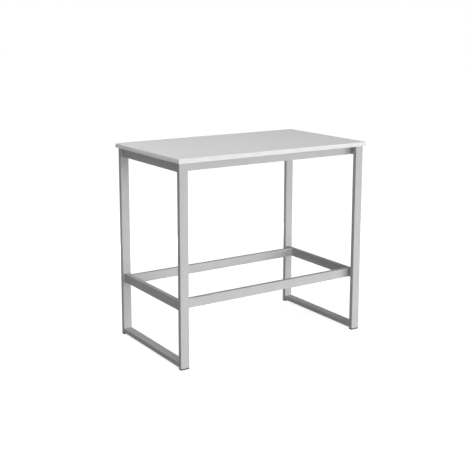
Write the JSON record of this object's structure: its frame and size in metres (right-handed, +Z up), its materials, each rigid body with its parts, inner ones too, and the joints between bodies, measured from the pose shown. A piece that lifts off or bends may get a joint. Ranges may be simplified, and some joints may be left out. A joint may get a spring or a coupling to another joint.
{
  "type": "standing meeting table",
  "caption": "Standing-height meeting table: rectangular worktop on two welded end frames of rectangular steel tube, joined by long top rails and foot rails.",
  "frame": {"origin": "on the floor, under the middle of the worktop", "axes": "+X along the length of the table to its right end, +Y from the front to the back, +Z up"},
  "size_m": [1.2, 0.7, 1.09],
  "materials": {
    "worktop": "matt melamine facing",
    "edging": "satin",
    "frame": "satin silver powder coat",
    "foot_plastic": "matt",
    "zinc": "bright zinc plate"
  },
  "bodies": {
    "root": {"base_cross_rail_left": "frame", "base_cross_rail_right": "frame", "edge_band_back": "edging", "edge_band_front": "edging", "edge_band_left": "edging", "edge_band_right": "edging", "fixing_lug_1": "frame", "fixing_lug_10": "frame", "fixing_lug_2": "frame", "fixing_lug_3": "frame", "fixing_lug_4": "frame", "fixing_lug_5": "frame", "fixing_lug_6": "frame", "fixing_lug_7": "frame", "fixing_lug_8": "frame", "fixing_lug_9": "frame", "foot_back_left": "foot_plastic", "foot_back_right": "foot_plastic", "foot_cross_rail_left": "frame", "foot_cross_rail_right": "frame", "foot_front_left": "foot_plastic", "foot_front_right": "foot_plastic", "foot_rail_back": "frame", "foot_rail_front": "frame", "leg_back_left": "frame", "leg_back_right": "frame", "leg_front_left": "frame", "leg_front_right": "frame", "rail_lock_screws": "zinc", "spigot_foot_back_left": "frame", "spigot_foot_back_right": "frame", "spigot_foot_front_left": "frame", "spigot_foot_front_right": "frame", "spigot_top_back_left": "frame", "spigot_top_back_right": "frame", "spigot_top_front_left": "frame", "spigot_top_front_right": "frame", "top_cross_rail_left": "frame", "top_cross_rail_right": "frame", "top_rail_back": "frame", "top_rail_front": "frame", "worktop_board": "worktop", "worktop_screws": "zinc"}
  },
  "joints": []
}
